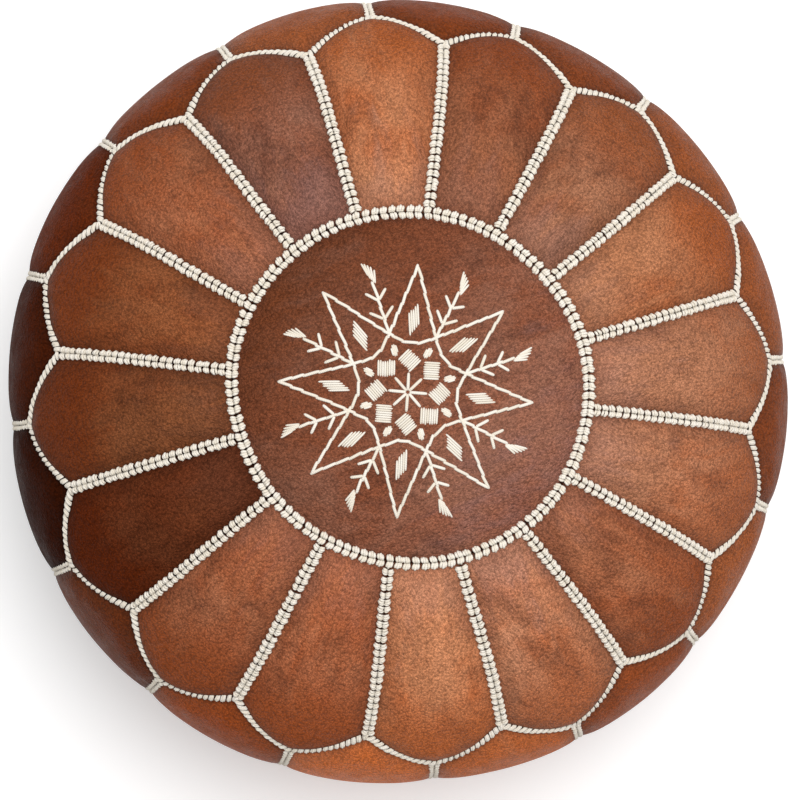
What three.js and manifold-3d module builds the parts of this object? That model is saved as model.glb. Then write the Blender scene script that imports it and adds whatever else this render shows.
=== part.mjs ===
// Moroccan leather pouf: a round leather cover of a medallion, sixteen petals, sixteen side panels
// and a base in two halves, joined by cream cotton braids, over a cotton bag packed with waste.
// A zip crosses the base, for the filling. Millimetres, +Z up, origin at the centre of the footprint.
import * as THREE from 'three';
import { mergeVertices } from 'three/addons/utils/BufferGeometryUtils.js';
import Module from 'manifold-3d';

const wasm = await Module();
wasm.setup();
const degrees = THREE.MathUtils.degToRad;
const { lerp, smoothstep } = THREE.MathUtils;

// Driving dimensions of the leather skin.
const WAIST_RADIUS = 257;
const WAIST_HEIGHT = 162;
const TOP_HEIGHT = 338;
const UPPER_EXPONENT = 2.5;   // squareness of the shoulder
const LOWER_EXPONENT = 3.2;   // squareness of the bottom edge
const BASE_SAG = 20;          // how far the unloaded base would hang below the floor
const FLOOR_BLEND = 6;        // how gradually the base lifts off the floor
const LEATHER = 1.6;          // hide thickness
const SEAM_GAP = 0.3;         // between neighbouring panels

// Layout of the panels. A "turn" is the meridian's parameter: +90 degrees at the top centre,
// 0 at the waist and -90 degrees under the middle of the base.
const PETALS = 16;
const PITCH = 2 * Math.PI / PETALS;
const RING_TURN = degrees(69.2);
const SPOKE_END_TURN = degrees(33.5);
const PEAK_TURN = degrees(23.2);
const BASE_SEAM_TURN = degrees(-45.8);
const RIM_BULGE = 1.3;        // 1 would make straight zigzag edges

// Cotton braids and embroidery thread.
const BRAID_LIFT = 0.6;
const BRAID_HEIGHT = 3;
const RING_BRAID_WIDTH = 8.2;
const SPOKE_BRAID_WIDTH = 7.2;
const RIM_BRAID_WIDTH = 6;
const SIDE_BRAID_WIDTH = 6.6;
const BASE_BRAID_WIDTH = 6;
const BRAID_CLEARANCE = 1.5;
const THREAD_LIFT = 0.3;
const THREAD_WIDTH = 1.8;
const THREAD_HEIGHT = 0.9;

// Star embroidery: eight open curves, each from one tip to the tip after next.
const STAR_TIPS = 8;
const STAR_TURN = degrees(1.4);
const STAR_TIP_RADIUS = 76.8;
const STAR_WAIST = 27;
const STAR_ROUND = 2.46;
const SPRIG_START = 35;
const SPRIG_END = 68.2;
const BUD_END = 82.3;
const BUD_WIDTH = 6.1;

// Bag and filling, as distances below the outside of the leather.
const LINING_DEPTH = 3;
const LINING = 0.8;
const STUFFING_DEPTH = 4.8;

// Zip in the base, along X, in a valley that keeps it off the floor.
const SLOT_HALF_LENGTH = 156;
const SLOT_HALF_WIDTH = 7;
const VALLEY_LIFT = 11;
const VALLEY_HALF_WIDTH = 17;
const VALLEY_FOOT = 50;
const VALLEY_TAPER_START = 172;
const VALLEY_TAPER_END = 200;
const BASE_INNER_REACH = 193;
const TAPE_HALF_LENGTH = 155;
const TAPE_EDGE = 16;
const TAPE_Z = [13.0, 13.8];
const COIL_Y = [0.75, 3];
const COIL_Z = [12.1, 14.7];
const SLIDER_REST_X = -138;
const SLIDER_LENGTH = 13;
const SLIDER_HALF_WIDTH = 5.2;
const SLIDER_Z = [10.2, 16.6];
const SLIDER_PLATE = 1.4;
const FLANGE_Z = [12.6, 14.2];
const FLANGE_Y = 4.2;
const POST_HALF_WIDTH = 0.4;
const POST_LENGTH = 3;
const HINGE_Z = 9.2;
const ARCH_HALF_LENGTH = 2.1;
const ARCH_WALL = 1;
const ARCH_HALF_WIDTH = 1;
const ARCH_Z = 7.2;
const PULL_LENGTH = 28;
const PULL_WIDTH = 7;
const PULL_THICKNESS = 1.2;
const PULL_EYE = [0.6, 3.4];
const PULL_EYE_HALF_WIDTH = 1.4;

// How fine the solids are.
const PETAL_COLUMNS = 4;
const PETAL_ROWS = 7;
const SIDE_ROWS = 9;
const MEDALLION_ROWS = 5;
const ROUND_SEGMENTS = 48;
const SOFT_SEGMENTS = 32;
const SOFT_ROWS = 12;
const BASE_COLUMNS = 16;
const BASE_ROWS = 12;
const BASE_ROW_EASE = 1.6;
const STAR_STEPS = 6;

// Materials, one function for each kind.
const LEATHER_TONES = {
  honey: 0xb97652, tan: 0xa86c50, caramel: 0x965a3c, rosewood: 0x8a5a48, chestnut: 0x7e4426, umber: 0x562c1a,
};
const PETAL_TONES = [
  'tan', 'honey', 'tan', 'caramel', 'honey', 'rosewood', 'caramel', 'chestnut',
  'chestnut', 'umber', 'caramel', 'caramel', 'honey', 'tan', 'caramel', 'tan',
];
const SIDE_TONES = [
  'caramel', 'tan', 'tan', 'caramel', 'chestnut', 'tan', 'chestnut', 'umber',
  'umber', 'umber', 'chestnut', 'chestnut', 'honey', 'honey', 'caramel', 'tan',
];

function leather(tone) {
  return new THREE.MeshStandardMaterial({ color: LEATHER_TONES[tone], roughness: 0.5, metalness: 0 });
}

function cotton(color) {
  return new THREE.MeshStandardMaterial({ color, roughness: 0.9, metalness: 0 });
}

function metal(color) {
  return new THREE.MeshStandardMaterial({ color, roughness: 0.3, metalness: 1 });
}

// Lets the base settle flat on the floor, with a smooth lift at its edge.
function restOnFloor(z) {
  if (z <= -FLOOR_BLEND) return 0;
  if (z >= FLOOR_BLEND) return z;
  return (z + FLOOR_BLEND) ** 2 / (4 * FLOOR_BLEND);
}

// The meridian: two quarter superellipses that meet at the waist. Returns radius and height.
function meridian(turn) {
  const above = turn >= 0;
  const exponent = above ? UPPER_EXPONENT : LOWER_EXPONENT;
  const rise = above ? TOP_HEIGHT - WAIST_HEIGHT : -(WAIST_HEIGHT + BASE_SAG);
  const radius = WAIST_RADIUS * Math.max(Math.cos(turn), 0) ** (2 / exponent);
  const height = WAIST_HEIGHT + rise * Math.abs(Math.sin(turn)) ** (2 / exponent);
  return new THREE.Vector2(radius, restOnFloor(height));
}

function meridianNormal(turn) {
  const step = 0.001;
  const down = meridian(turn - step).sub(meridian(turn + step)).normalize();
  return new THREE.Vector2(-down.y, down.x);
}

// The change of turn that moves a point this many millimetres along the meridian.
function turnStep(turn, distance) {
  const step = 0.001;
  return distance * 2 * step / meridian(turn - step).distanceTo(meridian(turn + step));
}

// The turn at which the skin has this radius, on the top or on the base.
function topTurn(radius) {
  return Math.acos((radius / WAIST_RADIUS) ** (UPPER_EXPONENT / 2));
}

function baseTurn(radius) {
  return -Math.acos((radius / WAIST_RADIUS) ** (LOWER_EXPONENT / 2));
}

// A point at an offset outside the skin, in space and in the meridian's own plane.
function offsetMeridian(turn, offset) {
  return meridian(turn).addScaledVector(meridianNormal(turn), offset);
}

function skinPoint(angle, turn, offset) {
  const flat = offsetMeridian(turn, offset);
  return new THREE.Vector3(flat.x * Math.cos(angle), flat.x * Math.sin(angle), flat.y);
}

function skinNormal(angle, turn) {
  const flat = meridianNormal(turn);
  return new THREE.Vector3(flat.x * Math.cos(angle), flat.x * Math.sin(angle), flat.y);
}

// The zigzag rim: it peaks at each petal's middle and dips to each spoke's end.
function rimTurn(angle) {
  const fromPeak = Math.abs(THREE.MathUtils.euclideanModulo(angle, PITCH) - PITCH / 2) / (PITCH / 2);
  return lerp(PEAK_TURN, SPOKE_END_TURN, fromPeak ** RIM_BULGE);
}

// Keeps only position, so that faces share their corners.
function tidy(geometry) {
  geometry.deleteAttribute('normal');
  geometry.deleteAttribute('uv');
  const merged = mergeVertices(geometry, 1e-4);
  merged.computeVertexNormals();
  return merged;
}

// A box with its corners moved: place takes three coordinates from 0 to 1 and returns a point.
function warpedBox(columns, rows, layers, place) {
  const geometry = new THREE.BoxGeometry(1, 1, 1, columns, rows, layers);
  const position = geometry.attributes.position;
  for (let i = 0; i < position.count; i += 1) {
    const point = place(position.getX(i) + 0.5, position.getY(i) + 0.5, position.getZ(i) + 0.5);
    position.setXYZ(i, point.x, point.y, point.z);
  }
  return tidy(geometry);
}

function block(low, high) {
  return warpedBox(1, 1, 1, (x, y, z) => new THREE.Vector3(
    lerp(low[0], high[0], x), lerp(low[1], high[1], y), lerp(low[2], high[2], z)));
}

// A turned solid about Z. The profile runs counter-clockwise in radius and height.
function turned(profile, segments) {
  return tidy(new THREE.LatheGeometry(profile, segments).rotateX(Math.PI / 2));
}

function toManifold(geometry) {
  const vertProperties = new Float32Array(geometry.attributes.position.array);
  const triVerts = new Uint32Array(geometry.index.array);
  return new wasm.Manifold(new wasm.Mesh({ numProp: 3, vertProperties, triVerts }));
}

function fromManifold(solid) {
  const mesh = solid.getMesh();
  const geometry = new THREE.BufferGeometry();
  geometry.setAttribute('position', new THREE.BufferAttribute(mesh.vertProperties, 3));
  geometry.setIndex(new THREE.BufferAttribute(mesh.triVerts, 1));
  return tidy(geometry);
}

function joined(geometries) {
  return fromManifold(geometries.map(toManifold).reduce((whole, piece) => whole.add(piece)));
}

function cut(geometry, ...tools) {
  return fromManifold(tools.map(toManifold).reduce((whole, tool) => whole.subtract(tool), toManifold(geometry)));
}

// A piece of hide on the skin between two angles and two edges, each edge a turn for each angle.
function panel(middle, lowerEdge, upperEdge, rows) {
  return warpedBox(PETAL_COLUMNS, rows, 1, (u, v, w) => {
    const across = 2 * u - 1;
    const nominal = middle + across * PITCH / 2;
    const low = lowerEdge(nominal);
    const high = upperEdge(nominal);
    const turn = lerp(low + turnStep(low, SEAM_GAP / 2), high - turnStep(high, SEAM_GAP / 2), v);
    const angle = nominal - across * SEAM_GAP / 2 / meridian(turn).x;
    return skinPoint(angle, turn, lerp(-LEATHER, 0, w));
  });
}

function petal(index) {
  return panel((index + 0.5) * PITCH, rimTurn, () => RING_TURN, PETAL_ROWS);
}

function sidePanel(index) {
  return panel(index * PITCH, () => BASE_SEAM_TURN, rimTurn, SIDE_ROWS);
}

function medallion() {
  const edge = RING_TURN + turnStep(RING_TURN, SEAM_GAP / 2);
  const inside = [];
  const outside = [];
  for (let row = 0; row <= MEDALLION_ROWS; row += 1) {
    const turn = lerp(Math.PI / 2, edge, row / MEDALLION_ROWS);
    inside.push(offsetMeridian(turn, -LEATHER));
    outside.unshift(offsetMeridian(turn, 0));
  }
  const profile = [...inside, ...outside];
  profile[0].x = 0;
  profile[profile.length - 1].x = 0;
  return turned(profile, SOFT_SEGMENTS);
}

// How far the base is drawn up over the zip, and near it.
function valleyLift(x, y) {
  const across = 1 - smoothstep(Math.abs(y), VALLEY_HALF_WIDTH, VALLEY_FOOT);
  const along = 1 - smoothstep(Math.abs(x), VALLEY_TAPER_START, VALLEY_TAPER_END);
  return VALLEY_LIFT * across * along;
}

// Half of the base, on the +Y side, with its half of the zip's slot. Its rows run from the zip to
// the rim: the first half of them covers the valley, the rest get closer towards the rim.
function basePanel() {
  const seamTurn = BASE_SEAM_TURN - turnStep(BASE_SEAM_TURN, SEAM_GAP / 2);
  const seamRadius = meridian(seamTurn).x;
  const half = 0.5;
  const whole = warpedBox(BASE_COLUMNS, BASE_ROWS, 1, (u, v, w) => {
    const angle = u * Math.PI;
    const rimY = seamRadius * Math.sin(angle);
    const foot = Math.min(half, VALLEY_FOOT / Math.max(rimY, VALLEY_FOOT));
    const beyond = 1 - (1 - Math.max(v - half, 0) / half) ** BASE_ROW_EASE;
    const along = v < half ? foot * v / half : lerp(foot, 1, beyond);
    const x = lerp(BASE_INNER_REACH, seamRadius, along) * Math.cos(angle);
    const y = Math.max(lerp(SEAM_GAP / 2, rimY, along), SEAM_GAP / 2);
    const point = skinPoint(Math.atan2(y, x), baseTurn(Math.hypot(x, y)), lerp(-LEATHER, 0, w));
    point.z += valleyLift(x, y);
    return point;
  });
  const slot = block([-SLOT_HALF_LENGTH, -1, -1], [SLOT_HALF_LENGTH, SLOT_HALF_WIDTH, VALLEY_LIFT * 2]);
  return cut(whole, slot);
}

// A braid laid along a path on the skin. Two columns crown it along its middle, one leaves it flat.
function braid(path, width, height, steps, columns = 1, lift = BRAID_LIFT) {
  const crown = 0.7;
  return warpedBox(steps, columns, 1, (u, v, w) => {
    const here = path(u);
    const before = skinPoint(...path(u - 0.01), 0);
    const after = skinPoint(...path(u + 0.01), 0);
    const across = 2 * v - 1;
    const normal = skinNormal(...here);
    const sideways = normal.clone().cross(after.sub(before)).normalize();
    const rise = w * height * (columns > 1 ? lerp(1, crown, Math.abs(across)) : 1);
    const reach = across * width / 2 * lerp(1, crown, w);
    return skinPoint(...here, lift + rise).addScaledVector(sideways, reach);
  });
}

// A braid around the whole pouf, where the meridian has this turn.
function braidHoop(turn, width) {
  const centre = offsetMeridian(turn, BRAID_LIFT);
  const normal = meridianNormal(turn);
  const outward = new THREE.Vector2(normal.y, -normal.x);
  const corner = (across, up) => centre.clone().addScaledVector(outward, across * width / 2)
    .addScaledVector(normal, up * BRAID_HEIGHT);
  const profile = [corner(-1, 0), corner(1, 0), corner(0.7, 0.7), corner(0, 1), corner(-0.7, 0.7), corner(-1, 0)];
  return turned(profile, ROUND_SEGMENTS);
}

function spokeBraid(index) {
  const angle = index * PITCH;
  const inner = RING_TURN - turnStep(RING_TURN, RING_BRAID_WIDTH / 2 + SEAM_GAP);
  const outer = SPOKE_END_TURN + turnStep(SPOKE_END_TURN, RIM_BRAID_WIDTH / 2 + BRAID_CLEARANCE);
  return braid(u => [angle, lerp(inner, outer, u)], SPOKE_BRAID_WIDTH, BRAID_HEIGHT, PETAL_ROWS, 2);
}

// The zigzag, the side seams and the hoop round the base, worked as one net.
function rimNetBraid() {
  const reach = degrees(1.2);
  const pieces = [braidHoop(BASE_SEAM_TURN, BASE_BRAID_WIDTH)];
  for (let index = 0; index < PETALS; index += 1) {
    const middle = (index + 0.5) * PITCH;
    const zigzag = u => {
      const angle = middle + (u - 0.5) * (PITCH + reach);
      const fromPeak = Math.abs(angle - middle) / (PITCH / 2);
      return [angle, lerp(PEAK_TURN, SPOKE_END_TURN, fromPeak ** RIM_BULGE)];
    };
    const seam = u => [middle, lerp(PEAK_TURN, BASE_SEAM_TURN, u)];
    pieces.push(braid(zigzag, RIM_BRAID_WIDTH, BRAID_HEIGHT, PETAL_COLUMNS));
    pieces.push(braid(seam, SIDE_BRAID_WIDTH, BRAID_HEIGHT, SIDE_ROWS));
  }
  return joined(pieces);
}

// A thread laid on the medallion between plan positions.
function threadOnTop(plan, width, steps) {
  const path = u => {
    const place = plan(u);
    return [Math.atan2(place.y, place.x), topTurn(Math.hypot(place.x, place.y))];
  };
  return braid(path, width, THREAD_HEIGHT, steps, 1, THREAD_LIFT);
}

function starEmbroidery() {
  const pieces = [];
  const reach = STAR_TIP_RADIUS * Math.SQRT1_2;
  const origin = new THREE.Vector2();
  for (let index = 0; index < STAR_TIPS; index += 1) {
    const facing = STAR_TURN + index * 2 * Math.PI / STAR_TIPS;
    const arm = u => {
      const y = lerp(-reach, reach, u);
      return new THREE.Vector2(STAR_WAIST + Math.hypot(STAR_ROUND, y / 2), y).rotateAround(origin, facing);
    };
    const between = facing + Math.PI / STAR_TIPS;
    const ray = (from, to) => u => new THREE.Vector2(lerp(from, to, u), 0).rotateAround(origin, between);
    pieces.push(threadOnTop(arm, THREAD_WIDTH, STAR_STEPS));
    pieces.push(threadOnTop(ray(SPRIG_START, SPRIG_END + 1), THREAD_WIDTH, 1));
    pieces.push(threadOnTop(ray(SPRIG_END, BUD_END), BUD_WIDTH, 1));
  }
  return joined(pieces);
}

// A turned solid that follows the skin at a depth below its outside.
function bagSolid(depth) {
  const profile = [];
  for (let row = 0; row <= SOFT_ROWS; row += 1) {
    profile.push(offsetMeridian(lerp(-Math.PI / 2, Math.PI / 2, row / SOFT_ROWS), -depth));
  }
  profile[0].x = 0;
  profile[SOFT_ROWS].x = 0;
  return turned(profile, SOFT_SEGMENTS);
}

// The bag's mouth and the hollow pressed into the filling, both over the zip.
function zipHollow(margin, height) {
  const x = VALLEY_TAPER_END + margin;
  const y = VALLEY_FOOT - 5 + margin;
  return block([-x, -y, -1], [x, y, height]);
}

function cottonLining() {
  return cut(bagSolid(LINING_DEPTH), bagSolid(LINING_DEPTH + LINING), zipHollow(1.5, 26));
}

function stuffing() {
  return cut(bagSolid(STUFFING_DEPTH), zipHollow(4, 22));
}

// An outline in Y and Z, pushed along X from the middle to both sides.
function alongX(outline, length) {
  const shape = new THREE.Shape(outline.map(([y, z]) => new THREE.Vector2(y, z)));
  const geometry = new THREE.ExtrudeGeometry(shape, { depth: length, bevelEnabled: false, steps: 1 });
  const turnToX = new THREE.Matrix4().makeBasis(
    new THREE.Vector3(0, 1, 0), new THREE.Vector3(0, 0, 1), new THREE.Vector3(1, 0, 0));
  return tidy(geometry.translate(0, 0, -length / 2).applyMatrix4(turnToX));
}

// One woven tape with its row of nylon coil, on the +Y side.
function zipTape() {
  return alongX([
    [COIL_Y[0], COIL_Z[0]], [COIL_Y[1], COIL_Z[0]], [COIL_Y[1], TAPE_Z[0]], [TAPE_EDGE, TAPE_Z[0]],
    [TAPE_EDGE, TAPE_Z[1]], [COIL_Y[1], TAPE_Z[1]], [COIL_Y[1], COIL_Z[1]], [COIL_Y[0], COIL_Z[1]],
  ], 2 * TAPE_HALF_LENGTH);
}

// The slider: two plates with turned-in flanges, a post between them at the nose, and an arch
// under the lower plate that holds the pull.
function zipSlider() {
  const [bottom, top] = SLIDER_Z;
  const outer = SLIDER_HALF_WIDTH;
  const lower = alongX([
    [-outer, bottom], [outer, bottom], [outer, FLANGE_Z[0]], [FLANGE_Y, FLANGE_Z[0]],
    [FLANGE_Y, bottom + SLIDER_PLATE], [-FLANGE_Y, bottom + SLIDER_PLATE], [-FLANGE_Y, FLANGE_Z[0]],
    [-outer, FLANGE_Z[0]],
  ], SLIDER_LENGTH);
  const upper = alongX([
    [-outer, FLANGE_Z[1]], [-FLANGE_Y, FLANGE_Z[1]], [-FLANGE_Y, top - SLIDER_PLATE],
    [FLANGE_Y, top - SLIDER_PLATE], [FLANGE_Y, FLANGE_Z[1]], [outer, FLANGE_Z[1]], [outer, top], [-outer, top],
  ], SLIDER_LENGTH);
  const nose = SLIDER_LENGTH / 2;
  const post = block([nose - POST_LENGTH, -POST_HALF_WIDTH, bottom + 1], [nose, POST_HALF_WIDTH, top - 1]);
  const arch = block([-ARCH_HALF_LENGTH, -ARCH_HALF_WIDTH, ARCH_Z],
    [ARCH_HALF_LENGTH, ARCH_HALF_WIDTH, bottom + SLIDER_PLATE / 2]);
  const eye = ARCH_HALF_LENGTH - ARCH_WALL;
  const opening = block([-eye, -2, ARCH_Z + ARCH_WALL], [eye, 2, bottom]);
  return joined([lower, upper, post, cut(arch, opening)]);
}

// The pull: a flat tab with an eye, whose end bar turns inside the arch.
function zipPull() {
  const half = PULL_THICKNESS / 2;
  const tab = block([-half, -PULL_WIDTH / 2, -half], [PULL_LENGTH - half, PULL_WIDTH / 2, half]);
  const eye = block([PULL_EYE[0], -PULL_EYE_HALF_WIDTH, -2], [PULL_EYE[1], PULL_EYE_HALF_WIDTH, 2]);
  return cut(tab, eye);
}

function named(name, geometry, material) {
  const mesh = new THREE.Mesh(geometry, material);
  mesh.name = name;
  return mesh;
}

function numbered(name, index) {
  return `${name}_${String(index + 1).padStart(2, '0')}`;
}

function leatherCover() {
  const group = new THREE.Group();
  group.add(named('medallion', medallion(), leather('rosewood')));
  for (let index = 0; index < PETALS; index += 1) {
    group.add(named(numbered('top_petal', index), petal(index), leather(PETAL_TONES[index])));
    group.add(named(numbered('side_panel', index), sidePanel(index), leather(SIDE_TONES[index])));
  }
  const rear = named('base_panel_rear', basePanel(), leather('chestnut'));
  const front = named('base_panel_front', basePanel(), leather('chestnut'));
  front.rotation.z = Math.PI;
  group.add(rear, front);
  return group;
}

function stitching() {
  const group = new THREE.Group();
  const cream = 0xe6ddca;
  group.add(named('medallion_braid', braidHoop(RING_TURN, RING_BRAID_WIDTH), cotton(cream)));
  for (let index = 0; index < PETALS; index += 1) {
    group.add(named(numbered('spoke_braid', index), spokeBraid(index), cotton(cream)));
  }
  group.add(named('rim_net_braid', rimNetBraid(), cotton(cream)));
  group.add(named('star_embroidery', starEmbroidery(), cotton(cream)));
  return group;
}

function inside() {
  const group = new THREE.Group();
  group.add(named('cotton_lining', cottonLining(), cotton(0xd8cdb8)));
  group.add(named('stuffing', stuffing(), cotton(0xe8e2d6)));
  return group;
}

function zip() {
  const group = new THREE.Group();
  const rear = named('zip_tape_rear', zipTape(), cotton(0x3a241a));
  const front = named('zip_tape_front', zipTape(), cotton(0x3a241a));
  front.rotation.z = Math.PI;
  const slider = named('zip_slider', zipSlider(), metal(0xb08d57));
  slider.position.x = SLIDER_REST_X;
  const pull = named('zip_pull', zipPull(), metal(0xb08d57));
  pull.position.set(SLIDER_REST_X, 0, HINGE_Z);
  group.add(rear, front, slider, pull);
  return group;
}

const pouf = new THREE.Group();
pouf.add(leatherCover(), stitching(), inside(), zip());

export default pouf;
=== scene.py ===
"""Looks of the Moroccan leather pouf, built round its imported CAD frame. Metres, +Z up."""
import math
import typing

import bpy
import numpy as np
from mathutils import Matrix, Vector
from mathutils.bvhtree import BVHTree
from mathutils.kdtree import KDTree


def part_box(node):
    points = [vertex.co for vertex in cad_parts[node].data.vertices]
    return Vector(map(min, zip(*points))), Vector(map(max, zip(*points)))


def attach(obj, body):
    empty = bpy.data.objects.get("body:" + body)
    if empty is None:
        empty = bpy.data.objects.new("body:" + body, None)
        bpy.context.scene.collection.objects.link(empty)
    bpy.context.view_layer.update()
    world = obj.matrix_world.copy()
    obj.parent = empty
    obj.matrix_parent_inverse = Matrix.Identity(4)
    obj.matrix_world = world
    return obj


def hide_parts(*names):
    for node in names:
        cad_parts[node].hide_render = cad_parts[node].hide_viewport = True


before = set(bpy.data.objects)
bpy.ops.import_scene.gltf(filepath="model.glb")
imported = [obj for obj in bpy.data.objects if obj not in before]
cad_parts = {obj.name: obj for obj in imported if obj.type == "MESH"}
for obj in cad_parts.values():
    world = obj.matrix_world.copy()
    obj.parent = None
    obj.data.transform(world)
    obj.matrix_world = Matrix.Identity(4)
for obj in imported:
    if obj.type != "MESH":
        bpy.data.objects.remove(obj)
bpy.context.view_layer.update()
scene = bpy.context.scene
rng = np.random.default_rng(7)
MM = 0.001

# The leather skin, as in the CAD: two quarter superellipses that meet at the waist.
WAIST_RADIUS = 0.257
WAIST_HEIGHT = 0.162
TOP_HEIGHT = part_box("medallion")[1].z
UPPER_EXPONENT = 2.5
LOWER_EXPONENT = 3.2
BASE_SAG = 0.020
FLOOR_BLEND = 0.006
LEATHER = 1.6 * MM
PETALS = 16
PITCH = 2 * math.pi / PETALS
RING_TURN = math.radians(69.2)
SPOKE_END_TURN = math.radians(33.5)
PEAK_TURN = math.radians(23.2)
BASE_SEAM_TURN = math.radians(-45.8)
RIM_BULGE = 1.3

# The simulated cover: columns round each half panel, and rows down the petals and the side panels.
HALF_COLUMNS = 8
COLUMNS = 2 * PETALS * HALF_COLUMNS
PETAL_ROWS = 24
SIDE_ROWS = 46
DISC_CELLS = COLUMNS // 4
SIM_FRAMES = 18
# How far the simulated cloth may move, on top and at the waist, and the waist's own swelling.
SIM_CAP = 9 * MM
WAIST_CAP = 3.6 * MM
WAIST_SWELL = 2.6 * MM
# Where the top and the base pass into the waist, as distances from the pouf's axis.
WAIST_BAND = (0.222, 0.250)
# How far a braid is pulled into the leather.
BRAID_SINK = 1.1 * MM

# Base, zip and valley, as in the CAD.
VALLEY_LIFT = 0.011
VALLEY_HALF_WIDTH = 0.017
VALLEY_FOOT = 0.050
VALLEY_TAPER = (0.172, 0.200)
SLOT_HALF_LENGTH = 0.156
SLOT_HALF_WIDTH = 0.007
BASE_INNER_REACH = 0.193

# How the medallion was set by hand: slightly oval across this axis, and off the middle, as its star is.
OVAL_AXIS = np.array([-0.110, 0.994])
OVALNESS = 0.024
RING_SHIFT = np.array([-1.8, -0.5]) * MM
STAR_SHIFT = np.array([-2.9, -2.4]) * MM
# Where its edge is drawn in and how deep, and which way the pouf's waist leans.
RING_DENT = math.radians(226)
DENT_DEPTH = 4.6 * MM
WAIST_SHIFT = np.array([-1.9, -1.7]) * MM
# The medallion's tone, and how its colour gets lighter towards one side, per metre.
MEDALLION_SHADE = 0.86
MEDALLION_LIGHTER = np.array([2.3, -1.3])

# The hide of each petal and side panel, and how bright it is, anticlockwise from the right of the photo.
# These are partly the hides' own tones and partly painted light and shade: darker on the left, where the
# flank is umber, and lighter on the lower flank and the lower petals.
PETAL_TONES = ("tan", "honey", "tan", "caramel", "honey", "rosewood", "caramel", "chestnut",
               "chestnut", "umber", "caramel", "caramel", "honey", "tan", "caramel", "tan")
SIDE_TONES = ("caramel", "tan", "tan", "caramel", "chestnut", "tan", "chestnut", "umber",
              "umber", "umber", "chestnut", "chestnut", "honey", "honey", "caramel", "tan")
PETAL_TONE_AND_LIGHT = (1.0, 0.87, 0.82, 0.82, 0.97, 1.0, 0.95, 1.0, 0.84, 1.0, 1.0, 1.15, 1.15, 1.2, 1.05, 1.05)
SIDE_TONE_AND_LIGHT = (0.82, 1.0, 0.97, 0.8, 1.15, 1.0, 1.12, 1.35, 0.65, 0.38, 0.78, 1.75, 1.65, 1.45, 1.15, 1.17)
# How much painted sheen each petal has beside the medallion, and how much painted shade towards its point.
PETAL_SHEEN = (1.0, 0.9, 1.0, 1.2, 1.0, 1.3, 1.0, 1.2, 1.0, 1.6, 0.9, 0.8, 1.2, 0.9, 0.9, 0.8)
PETAL_RIM_SHADE = (0.75, 1.0, 1.0, 0.95, 0.85, 0.95, 0.9, 1.35,
                 1.45, 1.1, 1.0, 0.95, 0.75, 0.6, 0.85, 0.65)


# ------ skin

def unit(vectors):
    return vectors / np.maximum(np.linalg.norm(vectors, axis=-1, keepdims=True), 1e-12)


def smoothstep(value, low, high):
    t = np.clip((value - low) / (high - low), 0, 1)
    return t * t * (3 - 2 * t)


def lengths_along(points):
    """How far along a line, or each of many lines, its points lie."""
    steps = np.linalg.norm(np.diff(points, axis=-2), axis=-1)
    return np.concatenate([np.zeros(steps.shape[:-1] + (1,)), np.cumsum(steps, -1)], -1)


def sampled(where, steps, rows):
    """Rows of numbers, given at these steps, read off at others."""
    return np.stack([np.interp(where, steps, column) for column in rows.T], -1)


def rest_on_floor(z):
    """A height kept above the floor, with a smooth start."""
    blended = (z + FLOOR_BLEND) ** 2 / (4 * FLOOR_BLEND)
    return np.where(z <= -FLOOR_BLEND, 0, np.where(z >= FLOOR_BLEND, z, blended))


def meridian(turn):
    """Radius and height of the skin at a turn, from 90 degrees at the top to -90 under the base."""
    turn = np.asarray(turn, float)
    above = turn >= 0
    power = 2 / np.where(above, UPPER_EXPONENT, LOWER_EXPONENT)
    rise = np.where(above, TOP_HEIGHT - WAIST_HEIGHT, -(WAIST_HEIGHT + BASE_SAG))
    radius = WAIST_RADIUS * np.maximum(np.cos(turn), 0) ** power
    height = WAIST_HEIGHT + rise * np.abs(np.sin(turn)) ** power
    return radius, rest_on_floor(height)


TURNS = np.linspace(math.pi / 2, -math.pi / 2, 8001)
LINE = np.stack(meridian(TURNS), -1)
LENGTHS = lengths_along(LINE)
LINE_NORMALS = unit(np.gradient(LINE, axis=0)) @ np.array([[0, 1], [-1, 0]])


def length_at(turn):
    """How far along the meridian from the top centre a turn lies."""
    return np.interp(-np.asarray(turn), -TURNS, LENGTHS)


def skin_point(angle, length, offset=0.0):
    """Points on the skin, or at an offset outside it."""
    radius, height, out, up = (np.interp(length, LENGTHS, column) for column in (*LINE.T, *LINE_NORMALS.T))
    reach = radius + offset * out
    return np.stack([reach * np.cos(angle), reach * np.sin(angle), height + offset * up], -1)


def rim_length(angle):
    """Where the zigzag rim lies: furthest down at each petal's middle, highest at each spoke."""
    from_peak = np.abs(np.mod(angle, PITCH) - PITCH / 2) / (PITCH / 2)
    turn = PEAK_TURN + (SPOKE_END_TURN - PEAK_TURN) * from_peak ** RIM_BULGE
    return length_at(turn)


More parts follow.
